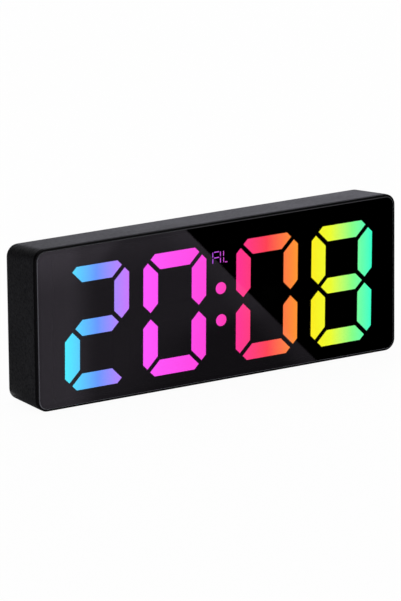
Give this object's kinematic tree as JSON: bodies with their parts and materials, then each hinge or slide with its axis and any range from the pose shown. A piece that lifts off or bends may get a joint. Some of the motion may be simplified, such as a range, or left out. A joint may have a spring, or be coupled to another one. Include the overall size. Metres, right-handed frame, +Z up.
{
  "type": "digital desk clock",
  "caption": "Slim rectangular desk clock with a smoked front panel, large colour graded seven segment digits, rear keys, an alarm switch and a hinged battery door.",
  "frame": {"origin": "on the table below the middle of the clock, at the bottom centre of its box", "axes": "+X to the viewer's right along the display, +Y from the display to the back, +Z up"},
  "size_m": [0.163, 0.0238, 0.0634],
  "materials": {
    "glow_violet": "lit light guide, violet",
    "key_abs": "satin ABS moulding",
    "case_abs": "fine grained black ABS moulding",
    "cable_jacket": "grey flat cable jacket",
    "buzzer_resin": "moulded resin",
    "zinc_steel": "zinc plated",
    "cell_wrap": "bare shrink wrap",
    "chip_resin": "moulded epoxy",
    "glow_pink": "lit diffuser, pink",
    "contact_nickel": "nickel plated sheet",
    "spring_wire": "nickel plated spring wire",
    "board_laminate": "glass epoxy laminate with green resist",
    "glow_blue": "lit diffuser, cyan to violet",
    "glow_magenta": "lit diffuser, magenta",
    "glow_red": "lit diffuser, pink to orange",
    "glow_yellow": "lit diffuser, yellow to green",
    "lamp_resin": "clear resin lamp",
    "foot_rubber": "black rubber",
    "frame_abs": "satin black ABS moulding",
    "smoked_acrylic": "polished smoked acrylic sheet",
    "inlet_nylon": "moulded nylon",
    "adhesive_film": "black double sided film",
    "light_box_abs": "matt black ABS moulding",
    "switch_nylon": "moulded nylon",
    "inlet_steel": "pressed nickel plated steel",
    "capacitor_sleeve": "shrunk sleeve",
    "switch_steel": "pressed tinned steel",
    "crystal_can": "drawn can",
    "dark_diffuser": "unlit smoked diffuser"
  },
  "bodies": {
    "case": {"alarm_indicator": "glow_violet", "board_cable": "cable_jacket", "buzzer": "buzzer_resin", "case_screws": "zinc_steel", "cell_1": "cell_wrap", "cell_2": "cell_wrap", "cell_3": "cell_wrap", "clock_chip": "chip_resin", "colon_panes": "glow_pink", "contact_end": "contact_nickel", "contact_link_1": "contact_nickel", "contact_link_2": "contact_nickel", "contact_spring_1": "spring_wire", "contact_spring_2": "spring_wire", "contact_spring_3": "spring_wire", "contact_start": "contact_nickel", "control_board": "board_laminate", "control_screws": "zinc_steel", "digit_1_lit": "glow_blue", "digit_2_lit": "glow_magenta", "digit_3_lit": "glow_red", "digit_4_lit": "glow_yellow", "display_board": "board_laminate", "display_leds": "lamp_resin", "display_screws": "zinc_steel", "driver_chips": "chip_resin", "foot_pads": "foot_rubber", "front_frame": "frame_abs", "front_lens": "smoked_acrylic", "inlet_tongue": "inlet_nylon", "lens_tape": "adhesive_film", "light_box": "light_box_abs", "power_inlet": "inlet_steel", "rear_shell": "case_abs", "smoothing_capacitor": "capacitor_sleeve", "switch_can": "switch_steel", "tact_switches": "switch_nylon", "timing_crystal": "crystal_can", "unlit_panes": "dark_diffuser"},
    "key_mode": {"key_mode": "key_abs", "plunger_mode": "switch_nylon"},
    "key_set": {"key_set": "key_abs", "plunger_set": "switch_nylon"},
    "key_up": {"key_up": "key_abs", "plunger_up": "switch_nylon"},
    "key_down": {"key_down": "key_abs", "plunger_down": "switch_nylon"},
    "alarm_slider": {"alarm_slider": "key_abs", "switch_lever": "switch_nylon"},
    "battery_door": {"battery_door": "case_abs"}
  },
  "joints": [
    {"name": "mode_key_press", "type": "slide", "parent": "case", "child": "key_mode", "axis": [0, -1, 0], "range_m": [0, 0.0003], "stiffness_N_per_m": 3000},
    {"name": "set_key_press", "type": "slide", "parent": "case", "child": "key_set", "axis": [0, -1, 0], "range_m": [0, 0.0003], "stiffness_N_per_m": 3000},
    {"name": "up_key_press", "type": "slide", "parent": "case", "child": "key_up", "axis": [0, -1, 0], "range_m": [0, 0.0003], "stiffness_N_per_m": 3000},
    {"name": "down_key_press", "type": "slide", "parent": "case", "child": "key_down", "axis": [0, -1, 0], "range_m": [0, 0.0003], "stiffness_N_per_m": 3000},
    {"name": "alarm_switch_slide", "type": "slide", "parent": "case", "child": "alarm_slider", "axis": [1, 0, 0], "range_m": [0, 0.002]},
    {"name": "door_hinge", "type": "hinge", "parent": "case", "child": "battery_door", "pos_m": [-0.035, 0.0109, 0.01305], "axis": [-1, 0, 0], "range_deg": [0, 75]}
  ]
}
